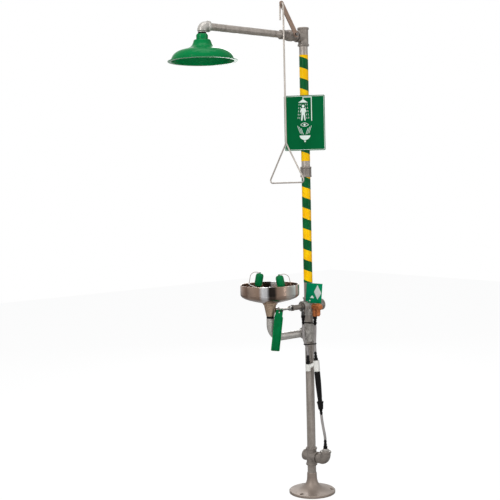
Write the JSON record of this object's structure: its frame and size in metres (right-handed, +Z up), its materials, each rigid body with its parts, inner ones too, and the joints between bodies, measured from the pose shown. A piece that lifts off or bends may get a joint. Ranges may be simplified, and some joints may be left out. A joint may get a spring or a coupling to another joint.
{
  "type": "eyewash station",
  "caption": "Floor-standing emergency shower and eyewash: pipe post with drench head on an arm, pull rod, twin-spray eyewash bowl, push paddle and sign.",
  "frame": {"origin": "on the floor, at the centre of the floor flange's underside, on the post's axis", "axes": "+Z up along the post; -Y from the post towards the user, along the shower arm and over the bowl; +X to the side of the paddle and levers"},
  "size_m": [0.3328, 0.8833, 2.3909],
  "materials": {
    "base_casting": "cast and zinc-painted, smooth",
    "galvanised": "hot-dip galvanised, warm grey, satin",
    "zinc": "zinc plated steel, satin",
    "chrome": "chromium plated, bright",
    "stainless": "polished stainless steel",
    "safety_green": "moulded green plastic, glossy",
    "green_coat": "green powder coat, glossy",
    "sign_face": "printed plastic sheet, semi-gloss",
    "tape": "self-adhesive warning tape",
    "black_nylon": "black nylon",
    "hose": "grey flexible tube, semi-matt",
    "white_plastic": "white moulded plastic",
    "bronze": "cast bronze, satin",
    "rod": "bright steel rod, satin"
  },
  "bodies": {
    "stand": {"floor_flange": "base_casting", "flange_riser": "galvanised", "drain_cross": "galvanised", "drain_elbow": "galvanised", "elbow_bushing": "zinc", "hose_barbs": "black_nylon", "lower_drain_hose": "hose", "drain_sleeve": "black_nylon", "hose_manifold": "white_plastic", "bleed_hose_left": "hose", "bleed_hose_right": "hose", "cable_ties": "black_nylon", "freeze_bleed_valve": "chrome", "scald_bleed_valve": "bronze", "stanchion_pipe": "galvanised", "waste_tee": "galvanised", "divider_nipple": "galvanised", "supply_cross": "galvanised", "inlet_nipple": "galvanised", "inlet_coupling": "galvanised", "line_strainer": "galvanised", "line_union": "zinc", "line_nipple": "zinc", "eyewash_valve_body": "zinc", "post_pipe_lower": "galvanised", "post_coupling": "galvanised", "post_pipe_upper": "galvanised", "warning_tapes": "tape", "inspection_tag": "sign_face", "sign_panel": "sign_face", "sign_clamps": "zinc", "fasteners": "zinc", "top_tee": "galvanised", "top_plug": "galvanised", "shower_valve_body": "galvanised", "arm_pipe": "galvanised", "arm_elbow": "zinc", "head_gasket": "black_nylon", "shower_head": "safety_green", "head_diffuser": "safety_green", "bowl": "stainless", "bowl_strainer": "chrome", "tailpiece": "stainless", "slip_nut": "black_nylon", "drain_tube": "zinc", "spray_yoke": "chrome", "spray_heads": "safety_green"},
    "shower_lever": {"shower_ball": "chrome", "shower_stem": "chrome", "shower_lever": "rod", "lever_nut": "chrome"},
    "pull_rod": {"pull_rod": "rod"},
    "eyewash_paddle": {"eyewash_ball": "chrome", "eyewash_stem": "chrome", "push_paddle": "green_coat", "paddle_nut": "chrome"},
    "cap_left": {"dust_cap_left": "safety_green", "cap_bail_left": "chrome"},
    "cap_right": {"dust_cap_right": "safety_green", "cap_bail_right": "chrome"}
  },
  "joints": [
    {"name": "shower_pull", "type": "hinge", "parent": "stand", "child": "shower_lever", "pos_m": [0, -0.088, 2.243], "axis": [1, 0, 0], "range_deg": [0, 90]},
    {"name": "rod_swing", "type": "hinge", "parent": "shower_lever", "child": "pull_rod", "pos_m": [0.045, -0.17623, 2.37886], "axis": [1, 0, 0], "range_deg": [-90, 0]},
    {"name": "paddle_push", "type": "hinge", "parent": "stand", "child": "eyewash_paddle", "pos_m": [0, -0.214, 0.934], "axis": [1, 0, 0], "range_deg": [0, 90]},
    {"name": "cap_lift_left", "type": "slide", "parent": "stand", "child": "cap_left", "axis": [0.1462, 0.1227, 0.9816], "range_m": [0, 0.035]},
    {"name": "cap_lift_right", "type": "slide", "parent": "stand", "child": "cap_right", "axis": [-0.1462, -0.1227, 0.9816], "range_m": [0, 0.035]}
  ],
  "couplings": [
    {"joint": "rod_swing", "follows": "shower_pull", "ratio": -1}
  ]
}
